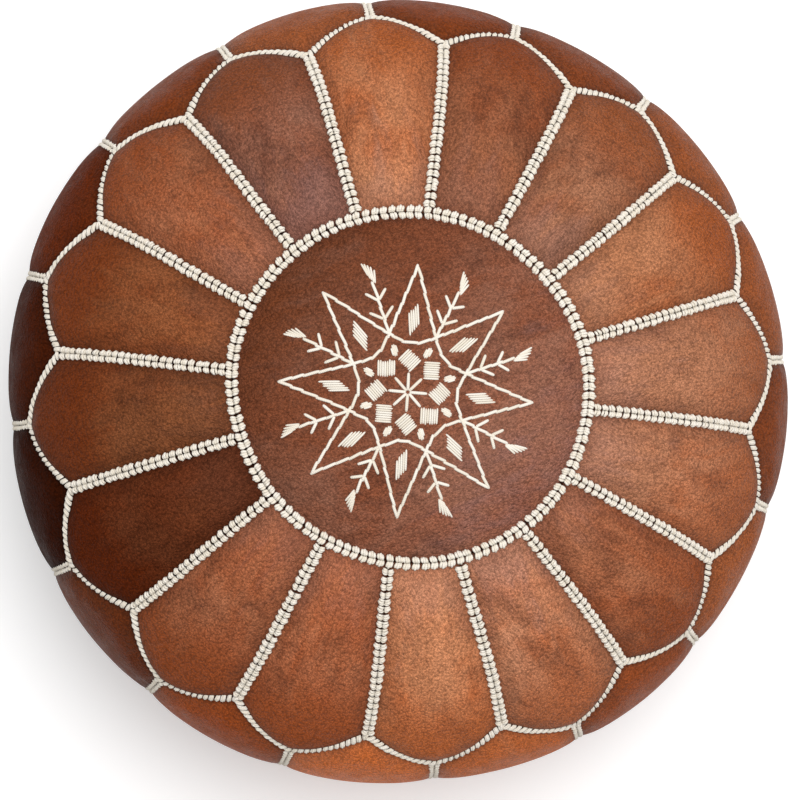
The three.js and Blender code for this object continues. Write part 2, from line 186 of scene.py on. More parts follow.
def settle(points):
    """The slight unevenness of a pouf stuffed by hand, none of it at the floor."""
    angle = np.arctan2(points[:, 1], points[:, 0])
    height = points[:, 2]
    reach = np.linalg.norm(points[:, :2], axis=1)
    swell = 0.9 * np.cos(2 * angle + 2.1) + 0.7 * np.cos(3 * angle + 0.6) + 0.5 * np.cos(5 * angle + 4.0)
    swell += 0.6 * np.cos(7 * angle + 30 * height)
    settled = points.copy()
    settled[:, :2] *= (1 + smoothstep(height, 0.02, 0.16) * swell * MM / WAIST_RADIUS)[:, None]
    dip = 1.3 * np.sin(14 * points[:, 0] + 1.0) * np.cos(12 * points[:, 1] - 0.6)
    settled[:, 2] += MM * dip * smoothstep(height, 0.22, 0.30)
    # the medallion is a little oval, and not quite in the middle
    middle = (1 - smoothstep(reach, 0.110, 0.215)) * (height > WAIST_HEIGHT)
    squeeze = (settled[:, :2] @ OVAL_AXIS)[:, None] * OVAL_AXIS * -OVALNESS
    settled[:, :2] += middle[:, None] * (squeeze - settled[:, :2] * 0.004 + RING_SHIFT)
    # its edge is drawn in on one side, and the waist leans a little that way
    dent = middle * smoothstep(reach, 0.060, 0.115) * np.maximum(np.cos(angle - RING_DENT), 0) ** 2
    settled[:, :2] -= unit(points[:, :2]) * (DENT_DEPTH * dent)[:, None]
    lean = smoothstep(reach, 0.18, 0.25) * smoothstep(height, 0.02, 0.16)
    settled[:, :2] += lean[:, None] * WAIST_SHIFT
    return settled


# ------ meshes

def make_object(name, points, faces, smooth=True):
    """A mesh object from points and faces, the faces in arrays of one corner count each."""
    mesh = bpy.data.meshes.new(name)
    groups = faces if isinstance(faces, list) else [faces]
    corners = np.concatenate([g.ravel() for g in groups]).astype(np.int32)
    totals = np.concatenate([np.full(len(g), g.shape[1], np.int32) for g in groups])
    starts = np.concatenate([[0], np.cumsum(totals)[:-1]]).astype(np.int32)
    mesh.vertices.add(len(points))
    mesh.vertices.foreach_set("co", np.asarray(points, np.float32).ravel())
    mesh.loops.add(len(corners))
    mesh.loops.foreach_set("vertex_index", corners)
    mesh.polygons.add(len(totals))
    mesh.polygons.foreach_set("loop_start", starts)
    mesh.polygons.foreach_set("loop_total", totals)
    mesh.polygons.foreach_set("use_smooth", np.full(len(totals), smooth))
    mesh.update(calc_edges=True)
    mesh.validate()
    obj = bpy.data.objects.new(name, mesh)
    scene.collection.objects.link(obj)
    return obj


def add_attribute(obj, name, values, kind="FLOAT"):
    attribute = obj.data.attributes.new(name, kind, "POINT")
    field = "value" if kind == "FLOAT" else "vector"
    attribute.data.foreach_set(field, np.asarray(values, np.float32).ravel())


def finish_piece(obj, material, slot, *nodes):
    obj.data.materials.append(material)
    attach(obj, "cover")
    if nodes:
        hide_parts(*nodes)


def grid_quads(index, closed=False):
    """Faces over rows of point numbers, each row joined into a loop where it is closed."""
    if closed:
        index = np.append(index, index[..., :1], -1)
    corners = [index[..., :-1, :-1], index[..., 1:, :-1], index[..., 1:, 1:], index[..., :-1, 1:]]
    return np.stack(corners, -1).reshape(-1, 4)


def thicken(obj, name, thickness):
    """Gives a sheet its thickness, inwards."""
    solid = obj.modifiers.new(name, "SOLIDIFY")
    solid.thickness = thickness
    solid.offset = -1


def mesh_points(mesh):
    points = np.empty(len(mesh.vertices) * 3)
    mesh.vertices.foreach_get("co", points)
    return points.reshape(-1, 3)


def threads(name, paths, normals, radius, sides=6, flat=1.0):
    """Closed threads, one for each path. Paths and normals are threads x points x 3."""
    paths = np.asarray(paths, float)
    count, steps = paths.shape[:2]
    along = unit(np.gradient(paths, axis=1))
    side = unit(np.cross(along, normals))
    up = np.cross(side, along)
    turn = 2 * math.pi * np.arange(sides) / sides
    spread = np.broadcast_to(np.asarray(radius, float), (count, steps))[..., None, None]
    ring = side[:, :, None] * np.cos(turn)[:, None] + up[:, :, None] * (flat * np.sin(turn))[:, None]
    points = (paths[:, :, None] + ring * spread).reshape(-1, 3)
    index = np.arange(count * steps * sides).reshape(count, steps, sides)
    caps = np.concatenate([index[:, 0], index[:, -1, ::-1]])
    obj = make_object(name, points, [grid_quads(index, closed=True), caps])
    length = np.broadcast_to(lengths_along(paths)[..., None], index.shape)
    around = np.broadcast_to(np.arange(sides) / sides, index.shape)
    add_attribute(obj, "yarn", np.stack([length, around, np.zeros(index.shape)], -1), "FLOAT_VECTOR")
    add_attribute(obj, "strand", np.broadcast_to(rng.random((count, 1, 1)), index.shape))
    # depth: 0 on top of each thread, 1 underneath; cotton yarn paints shade there.
    add_attribute(obj, "depth", np.broadcast_to(0.5 - 0.5 * np.sin(turn), index.shape))
    return obj


# ------ materials

def rgb(hexcode):
    """A linear colour from a display one."""
    parts = [int(hexcode[i:i + 2], 16) / 255 for i in (0, 2, 4)]
    return [p / 12.92 if p <= 0.04045 else ((p + 0.055) / 1.055) ** 2.4 for p in parts] + [1.0]


def toned(colour, *factors):
    """A colour with its three parts multiplied, each by its own factor or all by one."""
    factors = factors if len(factors) == 3 else factors * 3
    return [part * factor for part, factor in zip(colour[:3], factors)] + [1.0]


class Look:
    """A material being made, with short ways to add nodes. A value is a constant or a node's output."""

    def __init__(self, name):
        self.material = bpy.data.materials.new(name)
        self.material.use_nodes = True
        self.tree = self.material.node_tree
        self.shader = self.tree.nodes["Principled BSDF"]

    def put(self, node, socket, value):
        if isinstance(value, bpy.types.NodeSocket):
            self.tree.links.new(value, node.inputs[socket])
        else:
            node.inputs[socket].default_value = value

    def add(self, kind, output, sockets, **settings):
        node = self.tree.nodes.new("ShaderNode" + kind)
        for name, value in settings.items():
            setattr(node, name, value)
        for socket, value in sockets.items():
            self.put(node, socket, value)
        return node.outputs[output]

    def surface(self, **inputs):
        """Fills in the shader's own sockets and gives the finished material."""
        for name, value in inputs.items():
            self.put(self.shader, name.replace("_", " "), value)
        return self.material

    def attribute(self, name, output="Fac"):
        return self.add("Attribute", output, {}, attribute_name=name)

    def place(self):
        return self.add("TexCoord", "Object", {})

    def stretched(self, vector, scale):
        return self.add("Mapping", "Vector", {"Vector": vector, "Scale": scale})

    def parts(self, vector):
        return self.add("SeparateXYZ", "X", {"Vector": vector}).node.outputs

    def noise(self, vector, scale, detail=4.0, rough=0.55, distortion=0.0):
        sockets = {"Vector": vector, "Scale": scale, "Detail": detail, "Roughness": rough}
        return self.add("TexNoise", "Fac", sockets | {"Distortion": distortion})

    def math(self, operation, a, b=0.0):
        return self.add("Math", 0, {0: a, 1: b}, operation=operation)

    def mix(self, factor, first, second, blend="MIX"):
        sockets = {0: factor, 6: first, 7: second}
        return self.add("Mix", 2, sockets, data_type="RGBA", blend_type=blend)

    def bump(self, height, distance, strength=1.0, **below):
        """A bump, on top of another one where Normal is given."""
        sockets = {"Height": height, "Distance": distance, "Strength": strength}
        return self.add("Bump", "Normal", sockets | below)

    def falloff(self, value, reach, strength):
        """From the strength at zero down to nothing at the reach."""
        sockets = {"Value": value, "From Max": reach, "To Min": strength, "To Max": 0.0}
        return self.add("MapRange", "Result", sockets, interpolation_type="SMOOTHSTEP")

    def ramp(self, value, *stops):
        """Eased steps of grey or of colour."""
        output = self.add("ValToRGB", "Color", {"Fac": value})
        ramp = output.node.color_ramp
        ramp.interpolation = "EASE"
        for element, (position, colour) in zip(ramp.elements, stops):
            element.position = position
            element.color = colour if isinstance(colour, list) else (colour, colour, colour, 1)
        return output


def goatskin(name, colour, gloss):
    """Waxed goatskin: clouded dye, a painted sheen inwards and painted shade towards the rim, darker along
    the seams, pebbled grain.
    """
    look = Look(name)
    hide = look.attribute("hide", "Vector")
    edge, shade, sheen_and_darkening = (look.attribute(field) for field in ("edge", "shade", "sheen_and_darkening"))
    clouds = look.noise(hide, 12, 5, 0.6, 0.6)
    smudges = look.noise(look.stretched(hide, (0.6, 1.0, 0.6)), 30, 6, 0.7, 0.8)
    streaks = look.noise(look.stretched(hide, (0.3, 1.0, 0.3)), 70, 5, 0.65, 0.4)
    mottle = look.noise(hide, 75, 4, 0.6, 0.5)
    speckle = look.noise(look.stretched(hide, (0.7, 1.0, 0.7)), 1700, 2, 0.7)
    cells = {"Vector": look.stretched(hide, (0.8, 1.0, 0.8)), "Scale": 760, "Randomness": 0.9}
    pebble = look.add("TexVoronoi", "Distance", cells, feature="SMOOTH_F1")
    creases = look.noise(hide, 120, 6, 0.65, 1.2)
    dark = toned(colour, 0.40, 0.34, 0.34)
    warm = toned(colour, 0.94, 0.66, 0.46)
    pale = toned(colour, 1.28, 1.36, 1.46)
    painted_sheen = toned(colour, 0.95, 1.15, 1.60)
    darker_redder = toned(colour, 0.76, 0.44, 0.16)
    dye = look.mix(look.ramp(clouds, (0.38, 0.0), (0.64, 0.9)), colour, warm)
    dye = look.mix(look.ramp(streaks, (0.42, 0.0), (0.72, 0.62)), dye, pale)
    dye = look.mix(look.ramp(mottle, (0.30, 0.30), (0.50, 0.0)), dye, dark)
    dye = look.mix(look.ramp(smudges, (0.30, 0.62), (0.52, 0.0)), dye, dark)
    # Painted sheen beside the medallion, turning into painted shade round the rim, made ragged by the
    # streaks.
    ragged = look.math("SUBTRACT", streaks, 0.5)
    patchy = look.math("ADD", sheen_and_darkening, ragged)
    dye = look.mix(look.ramp(patchy, (0.0, 0.55), (0.32, 0.0)), dye, painted_sheen)
    dye = look.mix(look.ramp(patchy, (0.42, 0.0), (1.0, 0.85)), dye, darker_redder)
    # Darker along the seams: partly the hide's own darkened edges, partly painted shade where the puffed
    # panels turn down.
    seam_dye_and_shade = look.math("ADD", edge, look.math("MULTIPLY", ragged, 0.016))
    dye = look.mix(look.falloff(seam_dye_and_shade, 0.018, 0.55), dye, dark)
    # A narrow painted shadow right beside each braid.
    dye = look.mix(look.falloff(edge, 0.0062, 0.9), dye, toned(dark, 0.3))
    # Fine speckle, partly the grain's own colour and partly painted highlight and shade; each pebble is
    # painted lighter in its middle and darker round its edge.
    dye = look.mix(1.0, dye, look.ramp(speckle, (0.34, 0.68), (0.66, 1.32)), "MULTIPLY")
    dye = look.mix(1.0, dye, look.ramp(pebble, (0.15, 1.26), (0.70, 0.74)), "MULTIPLY")
    tint = look.add("CombineColor", "Color", {"Red": shade, "Green": shade, "Blue": shade})
    grain = look.bump(pebble, 0.0009)
    return look.surface(Base_Color=look.mix(1.0, dye, tint, "MULTIPLY"), Specular_IOR_Level=gloss,
                        Roughness=look.ramp(mottle, (0.3, 0.44), (0.7, 0.62)),
                        Normal=look.bump(creases, 0.0020, 0.7, Normal=grain))


# How many turns a metre of yarn is twisted.
YARN_TWIST = 900.0


def cotton_yarn(name, colour):
    """Soft twisted cotton, each strand a little different, with painted shade down between the strands and
    along the twist.
    """
    look = Look(name)
    along, around, _ = look.parts(look.attribute("yarn", "Vector"))
    strand, depth = look.attribute("strand"), look.attribute("depth")
    spiral = look.math("ADD", look.math("MULTIPLY", along, YARN_TWIST), around)
    ply = look.math("PINGPONG", look.math("MULTIPLY", spiral, 2.0), 1.0)
    # Painted shade along the grooves of the twist.
    body = look.mix(look.ramp(ply, (0.0, 0.35), (0.5, 0.0)), colour, toned(colour, 0.72))
    # Painted shade on each thread's underside, down between the strands.
    body = look.mix(look.ramp(depth, (0.36, 0.0), (0.74, 0.92)), body, toned(colour, 0.26, 0.21, 0.16))
    body = look.mix(look.ramp(strand, (0.2, 0.0), (1.0, 0.6)), body, toned(colour, 0.86, 0.82, 0.74))
    return look.surface(Base_Color=body, Normal=look.bump(ply, 0.0003, 0.6), Roughness=0.85,
                        Sheen_Weight=0.25, Sheen_Roughness=0.5, Specular_IOR_Level=0.25)


def woven_cloth(name, colour, threads_per_metre, rough):
    """Plain weave: two crossing sets of rounded threads, with painted shade between them and random darker
    mottling.
    """
    look = Look(name)
    place = look.place()
    rows = []
    for axis in look.parts(place)[:2]:
        phase = look.math("MULTIPLY", axis, math.pi * threads_per_metre)
        rows.append(look.math("ABSOLUTE", look.math("SINE", phase)))
    weave = look.math("MULTIPLY", *rows)
    weave_shade_and_mottle = toned(colour, 0.6)
    # Painted shade between the threads, then random darker mottling.
    body = look.mix(look.ramp(weave, (0.0, 0.8), (0.6, 0.0)), colour, weave_shade_and_mottle)
    body = look.mix(look.ramp(look.noise(place, 60, 4, 0.6), (0.4, 0.0), (0.8, 0.5)), body, weave_shade_and_mottle)
    return look.surface(Base_Color=body, Normal=look.bump(weave, 0.0003, 0.6), Roughness=rough,
                        Specular_IOR_Level=0.25)


def nylon_monofilament():
    """Glossy brown nylon with a little dust on it."""
    look = Look("nylon_monofilament")
    dust = look.noise(look.place(), 260, 3)
    return look.surface(Base_Color=look.ramp(dust, (0.3, rgb("33241a")), (0.7, rgb("4a372a"))),
                        Roughness=look.ramp(dust, (0.3, 0.3), (0.7, 0.5)))


def zip_metal():
    """Aged brass: brown tarnish in patches and fine scratches along the slider."""
    look = Look("aged_brass")
    place = look.place()
    patches = look.noise(place, 220, 5, 0.6)
    scratches = look.noise(look.stretched(place, (0.08, 1, 1)), 2600, 3)
    return look.surface(Base_Color=look.ramp(patches, (0.35, rgb("a8834e")), (0.7, rgb("6e5030"))),
                        Roughness=look.ramp(patches, (0.3, 0.26), (0.7, 0.52)),
                        Normal=look.bump(scratches, 0.00005, 0.5), Metallic=1.0)


def cotton_waste():
    """Torn cotton waste, matted together."""
    look = Look("cotton_waste")
    place = look.place()
    tufts = look.noise(place, 55, 6, 0.7, 2.0)
    fibres = look.noise(place, 600, 4, 0.7, 3.0)
    lumpy = look.bump(tufts, 0.004, 0.6)
    return look.surface(Base_Color=look.ramp(tufts, (0.3, rgb("b9b0a2")), (0.7, rgb("e6dfd2"))),
                        Normal=look.bump(fibres, 0.001, 0.6, Normal=lumpy), Roughness=0.95,
                        Specular_IOR_Level=0.1)


# ------ the simulated cover

def stations(count, cluster=0.45):
    """Shares from 0 to 1, closer together at both ends."""
    t = np.linspace(0, 1, count + 1)
    return (1 - cluster) * t + cluster * (1 - np.cos(math.pi * t)) / 2


def cover_grid():
    """Points, faces and each face's panel. Rows run down from the ring, columns go round."""
    half = stations(HALF_COLUMNS)[:-1] * PITCH / 2
    angles = (np.arange(2 * PETALS)[:, None] * PITCH / 2 + half).ravel()
    ring = length_at(RING_TURN)
    rim = rim_length(angles)
    foot = length_at(BASE_SEAM_TURN)
    petal_rows = ring + stations(PETAL_ROWS)[:, None] * (rim - ring)
    side_rows = rim + stations(SIDE_ROWS)[1:, None] * (foot - rim)
    lengths = np.concatenate([petal_rows, side_rows])
    points = skin_point(np.broadcast_to(angles, lengths.shape), lengths).reshape(-1, 3)
    index = np.arange(lengths.size).reshape(lengths.shape)
    sector = np.arange(COLUMNS) // HALF_COLUMNS
    petal_id = np.broadcast_to(sector // 2, (PETAL_ROWS, COLUMNS))
    side_id = np.broadcast_to(PETALS + ((sector + 1) // 2) % PETALS, (SIDE_ROWS, COLUMNS))
    panels = np.concatenate([petal_id, side_id])
    return angles, points, index, grid_quads(index, closed=True), panels.ravel()


def disc_grid(angles, first):
    """The medallion: a square grid drawn onto a disc, its outline on the ring's own points."""
    place = np.linspace(-1, 1, DISC_CELLS + 1)
    a, b = np.meshgrid(place, place, indexing="ij")
    rho = np.maximum(np.abs(a), np.abs(b))
    safe = np.maximum(rho, 1e-9)
    wide = np.abs(a) >= np.abs(b)
    # how far round the square, in eighths
    on_sides = np.where(a > 0, b / safe, 4 - b / safe)
    on_ends = np.where(b > 0, 2 - a / safe, 6 + a / safe)
    column = np.mod(np.where(wide, on_sides, on_ends) / 8 * COLUMNS, COLUMNS)
    around = np.interp(column, np.arange(COLUMNS + 1), np.append(angles, 2 * math.pi))
    inner = rho < 1 - 1e-9
    index = np.empty(a.shape, int)
    index[~inner] = np.round(column[~inner]).astype(int) % COLUMNS
    index[inner] = first + np.arange(inner.sum())
    return skin_point(around[inner], rho[inner] * length_at(RING_TURN)), grid_quads(index)


def round_the_waist(points):
    """1 round the pouf's widest part, 0 on its top and base."""
    return smoothstep(np.linalg.norm(points[:, :2], axis=1), *WAIST_BAND)


CLOTH = {"quality": 4, "mass": 0.35, "tension_stiffness": 25, "compression_stiffness": 25,
         "shear_stiffness": 12, "bending_stiffness": 3, "tension_damping": 8, "compression_damping": 8,
         "shear_damping": 8, "bending_damping": 2, "air_damping": 4, "shrink_min": -0.022,
         "vertex_group_mass": "seams", "use_pressure": True, "uniform_pressure_force": 10}


def inflate(points, quads, pinned):
    """Cloth pressed outwards by its filling, held along the seams. Returns the settled points."""
    obj = make_object("cover_cloth", points, quads)
    group = obj.vertex_groups.new(name="seams")
    group.add([int(i) for i in pinned], 1.0, "REPLACE")
    cloth = obj.modifiers.new("cloth", "CLOTH")
    for setting, value in CLOTH.items():
        setattr(cloth.settings, setting, value)
    cloth.settings.effector_weights.gravity = 0
    cloth.collision_settings.use_collision = False
    cloth.point_cache.frame_start = 1
    cloth.point_cache.frame_end = SIM_FRAMES
    for step in range(1, SIM_FRAMES + 1):
        scene.frame_set(step)
    evaluated = obj.evaluated_get(bpy.context.evaluated_depsgraph_get())
    result = mesh_points(evaluated.to_mesh())
    evaluated.to_mesh_clear()
    bpy.data.objects.remove(obj)
    scene.frame_set(1)
    moved = result - points
    far = np.linalg.norm(moved, axis=1)
    cap = SIM_CAP + (WAIST_CAP - SIM_CAP) * round_the_waist(points)
    return points + moved * (cap / np.hypot(cap, far))[:, None]


def vertex_normals(points, quads):
    a, b, c, d = (points[quads[:, corner]] for corner in range(4))
    face = np.cross(c - a, d - b)
    normals = np.zeros_like(points)
    for corner in range(4):
        np.add.at(normals, quads[:, corner], face)
    return unit(normals)


def seam_distance(points, lines):
    """How far each point is from the nearest seam."""
    dense = np.concatenate([
        sampled(np.linspace(0, len(line) - 1, 6 * len(line)), np.arange(len(line)), line) for line in lines])
    tree = KDTree(len(dense))
    for i, point in enumerate(dense):
        tree.insert(point, i)
    tree.balance()
    return np.array([tree.find(point)[2] for point in points])


def seam_fold(distance):
    """How far the hide is drawn in, at a distance from its seam: a narrow fold in a wide dip."""
    narrow, wide = (np.exp(-(distance / reach) ** 2) for reach in (2.5 * MM, 12 * MM))
    return (0.7 * narrow + 1.3 * wide) * MM


class Cover:
    """The whole leather skin after the simulation, with its seams as rows of point numbers."""

    def __init__(self):
        angles, grid, index, quads, panels = cover_grid()
        disc, disc_quads = disc_grid(angles, len(grid))
        points = settle(np.concatenate([grid, disc]))
        self.quads = np.concatenate([quads, disc_quads])
        self.panels = np.concatenate([panels, np.full(len(disc_quads), 2 * PETALS)])
        spokes = index[:PETAL_ROWS + 1, ::2 * HALF_COLUMNS]
        sides = index[PETAL_ROWS:, HALF_COLUMNS::2 * HALF_COLUMNS]
        loops = {"ring": index[0], "rim": index[PETAL_ROWS], "foot": index[-1]}
        self.seams = {name: np.append(loop, loop[0]) for name, loop in loops.items()}
        for k in range(PETALS):
            self.seams[f"spoke_{k}"] = spokes[:, k]
            self.seams[f"side_{k}"] = sides[:, k]
        pinned = np.unique(np.concatenate(list(self.seams.values())))
        points = inflate(points, self.quads, pinned)
        normals = vertex_normals(points, self.quads)
        self.edge = seam_distance(points, [points[seam] for seam in self.seams.values()])
        waist = round_the_waist(points)
        points = points + normals * (WAIST_SWELL * waist)[:, None]
        self.points = points - normals * (seam_fold(self.edge) * (1 - 0.6 * waist))[:, None]
        self.laced = points - normals * (BRAID_SINK * (1 + 0.3 * waist))[:, None]
        self.normals = normals

    def seam(self, name):
        """The line along which a seam's braid is laid."""
        ids = self.seams[name]
        return SeamLine(self.laced[ids], self.normals[ids])


# Where the painted sheen fades out and the painted shade comes in, as distances from the pouf's axis.
SHEEN_FADES = (0.105, 0.170)
SHOULDER = (0.165, 0.240)


def sheen_and_darkening_of(points, painted_sheen, painted_rim_shade):
    """From a painted sheen, beside the medallion, to painted shade round the shoulder, a little less below
    the waist.
    """
    height, reach = points[:, 2], np.linalg.norm(points[:, :2], axis=1)
    shoulder = smoothstep(reach, *SHOULDER) * (1 - 0.25 * smoothstep(WAIST_HEIGHT - height, 0, 0.08))
    return 0.3 * (1 - painted_sheen * (1 - smoothstep(reach, *SHEEN_FADES))) + 0.7 * painted_rim_shade * shoulder


# How far apart on the textures' endless hide the pieces are cut.
NEXT_HIDE = np.array([0.71, 0.37, 0.53])


def hide_piece(name, node, points, quads, edge, tone, shade, turn, seed, painted_sheen=1.0, painted_rim_shade=1.0):
    """A panel of hide with its thickness. Its grain runs outwards from the pouf's middle at that turn."""
    obj = make_object(name, points, quads)
    c, s = math.cos(turn), math.sin(turn)
    turned = points @ np.array([[c, -s, 0], [s, c, 0], [0, 0, 1]])
    add_attribute(obj, "hide", turned + NEXT_HIDE * seed, "FLOAT_VECTOR")
    add_attribute(obj, "edge", edge)
    add_attribute(obj, "shade", np.broadcast_to(shade, len(points)))
    add_attribute(obj, "sheen_and_darkening", sheen_and_darkening_of(points, painted_sheen, painted_rim_shade))
    subdivision = obj.modifiers.new("smooth", "SUBSURF")
    subdivision.levels = subdivision.render_levels = 1
    subdivision.boundary_smooth = "PRESERVE_CORNERS"
    thicken(obj, "hide_thickness", LEATHER)
    finish_piece(obj, LEATHERS[tone], "leather_" + tone, node)
    return obj


def cover_piece(cover, panel, name, node, tone, shade, turn, painted_sheen=1.0, painted_rim_shade=1.0):
    used, local = np.unique(cover.quads[cover.panels == panel], return_inverse=True)
    return hide_piece(name, node, cover.points[used], local.reshape(-1, 4), cover.edge[used],
                      tone, shade, turn, panel + 1, painted_sheen, painted_rim_shade)


def make_cover(cover):
    for k in range(PETALS):
        number = f"{k + 1:02d}"
        cover_piece(cover, k, "petal_" + number, "top_petal_" + number,
                    PETAL_TONES[k], PETAL_TONE_AND_LIGHT[k], (k + 0.5) * PITCH, PETAL_SHEEN[k], PETAL_RIM_SHADE[k])
        cover_piece(cover, PETALS + k, "side_" + number, "side_panel_" + number,
                    SIDE_TONES[k], SIDE_TONE_AND_LIGHT[k], k * PITCH)
    inner = np.unique(cover.quads[cover.panels == 2 * PETALS])
    uneven = cover.points[inner, :2] @ MEDALLION_LIGHTER
    # its darkening along the seam, partly painted shade, reaches less far in than a petal's
    cover.edge[inner] *= 1.8
    # The medallion is lighter, with more of the painted sheen, towards one side, and darker and redder
    # towards the other.
    return cover_piece(cover, 2 * PETALS, "medallion_hide", "medallion", "rosewood",
                       MEDALLION_SHADE * (1 + uneven), 0.4, np.minimum(4.5 * uneven - 0.5, 0.4))


# ------ braids

class SeamLine:
    """A seam as a line that can be sampled by length: points, surface normals and sideways."""

    def __init__(self, points, normals):
        self.points = points
        self.normals = normals
        self.steps = lengths_along(points)
        self.length = self.steps[-1]

    def at(self, s, across, height):
        """Points at a length along, across and above the seam, and the normals there."""
        s = np.clip(s, 0, self.length)
        here = sampled(s, self.steps, self.points)
        behind, ahead = (sampled(np.clip(s + step, 0, self.length), self.steps, self.points)
                         for step in (-1.5 * MM, 1.5 * MM))
        normal = unit(sampled(s, self.steps, self.normals))
        side = unit(np.cross(normal, unit(ahead - behind)))
        return here + side * across[..., None] + normal * height[..., None], normal


def arch(t, sharp):
    """Up and down again, more squarely for a smaller power."""
    return np.sin(math.pi * t) ** sharp


class Braid(typing.NamedTuple):
    """A braid's sizes: its lobes' pitch, its width and height, its thread's radius and how it slants."""
    pitch: float
    width: float
    height: float
    thread: float
    slant: float = 0.9 * MM


RING_PLAIT = Braid(5.5 * MM, 9.2 * MM, 3.4 * MM, 0.92 * MM)
SPOKE_PLAIT = Braid(4.9 * MM, 8.2 * MM, 3.1 * MM, 0.82 * MM)
SIDE_PLAIT = Braid(4.7 * MM, 7.2 * MM, 2.5 * MM, 0.78 * MM)
RIM_CORD = Braid(4.3 * MM, 6.0 * MM, 2.6 * MM, 0.72 * MM, 3.4 * MM)
FOOT_CORD = Braid(4.6 * MM, 6.0 * MM, 2.4 * MM, 0.76 * MM, 2.4 * MM)
# The three strands of a lobe, as steps along the seam. The middle one stands highest and reaches furthest.
STRANDS = np.array([-1.0, 0.0, 1.0])
# How uneven the strands are, and a plait's and a cord's lobes, as shares of their sizes.
STRAND_WANDER = 0.10 * MM
PLAIT_WANDER = np.array([0.05, 0.045, 0.05])
CORD_WANDER = np.array([0.08, 0.06])


def strands_of(braid, start, end, columns, wander):
    """Every strand of the lobes that fill a stretch of seam: the lobes' pitch, then for each strand
    its lobe's middle, its column, its place in the lobe, and how uneven its lobe and it are."""
    count = max(1, round((end - start) / braid.pitch))
    pitch = (end - start) / count
    places = start + (np.arange(count) + 0.5) * pitch
    grids = np.meshgrid(places, columns, STRANDS, indexing="ij")
    lobe = rng.normal(0, 1, (count, len(columns), 1, len(wander))) * wander
    lobe = np.broadcast_to(lobe, grids[0].shape + wander.shape).reshape(-1, len(wander))
    own = rng.normal(0, STRAND_WANDER, lobe.shape)
    return pitch, *(grid.ravel()[:, None] for grid in grids), lobe, own


def strand_run(braid, middle, strand, t, spacing):
    """How far along the seam each point of a strand lies: side by side, slanting and bowed apart."""
    bow = (t - 0.5) ** 2 * strand * braid.thread * -1.6
    return middle + strand * braid.thread * spacing + braid.slant * (t - 0.5) + bow


def plaited(line, braid, start, end):
    """Two columns of lobes that meet along the middle of a seam."""
    t = np.linspace(0, 1, 8)
    pitch, middle, column, strand, lobe, own = strands_of(braid, start, end, (-1.0, 1.0), PLAIT_WANDER)
    s = strand_run(braid, middle + lobe[:, :1] * pitch + own[:, :1], strand, t, 1.62)
    half = braid.width / 2 * (1 + lobe[:, 1:2]) - braid.thread / 2
    outer = half * (1 - 0.16 * strand ** 2) + own[:, 1:2]
    inner = braid.thread * 0.55 + own[:, 2:3]
    top = (braid.height - braid.thread) * (1 - 0.26 * strand ** 2 + lobe[:, 2:3])
    rise = -braid.thread + arch(t, 0.45) * (top + braid.thread) - 0.2 * braid.thread * t
    return line.at(s, column * (outer + (inner - outer) * t), rise)


def corded(line, braid, start, end):
    """A single column of slanting lobes, like a laid rope."""
    t = np.linspace(0, 1, 9)
    _, middle, _, strand, lobe, own = strands_of(braid, start, end, (1.0,), CORD_WANDER)
    s = strand_run(braid, middle + own[:, :1], strand, t, 1.5)
    across = (t - 0.5) * (braid.width - braid.thread) * (1 + lobe[:, :1]) + own[:, 1:2]
    top = (braid.height - braid.thread) * (1 - 0.28 * strand ** 2 + lobe[:, 1:2])
    return line.at(s, across, -braid.thread + arch(t, 0.5) * (top + braid.thread))


def braid_piece(name, line, weave, braid, material, *nodes, start=0.0, short=0.0):
    """A braid along a seam, from a start to a little short of the seam's end."""
    paths, normals = weave(line, braid, start, line.length - short)
    profile = np.ones(paths.shape[1])
    profile[[0, -1]] = 0.8
    finish_piece(threads(name, paths, normals, braid.thread * profile), material, "cotton_braid", *nodes)


def make_braids(cover, yarn):
    braid_piece("ring_braid", cover.seam("ring"), plaited, RING_PLAIT, yarn, "medallion_braid")
    for k in range(PETALS):
        braid_piece(f"spoke_plait_{k + 1:02d}", cover.seam(f"spoke_{k}"), plaited, SPOKE_PLAIT, yarn,
                    f"spoke_braid_{k + 1:02d}", start=4.2 * MM, short=1.5 * MM)
    braid_piece("rim_braid", cover.seam("rim"), corded, RIM_CORD, yarn, "rim_net_braid")
    for k in range(PETALS):
        braid_piece(f"side_plait_{k + 1:02d}", cover.seam(f"side_{k}"), plaited, SIDE_PLAIT, yarn,
                    start=2.2 * MM, short=3.0 * MM)
    braid_piece("base_hoop_braid", cover.seam("foot"), corded, FOOT_CORD, yarn)


# ------ embroidery

STAR_TIPS = 8
STAR_TURN = math.radians(1.4)
STAR_TIP_RADIUS = 76.8 * MM
STAR_WAIST = 27.0 * MM
STAR_ROUND = 2.46 * MM
# Towards this side the star's tips reach further.
LONG_SIDE = np.array([-0.83, 0.56])
LONG_BY = 3.2 * MM
# The sprigs between the tips: the stem's reach, and each pair of twigs' place and length.
STEM = (37.5 * MM, 68.5 * MM)
TWIGS = ((47.0 * MM, 9.6 * MM), (58.0 * MM, 8.6 * MM))
TWIG_DEGREES = 52


def turned_by(points, angle):
    c, s = math.cos(angle), math.sin(angle)
    return points @ np.array([[c, s], [-s, c]])


def turned_rows(rows, angle):
    return turned_by(np.asarray(rows).reshape(-1, 2), angle).reshape(-1, 2, 2)


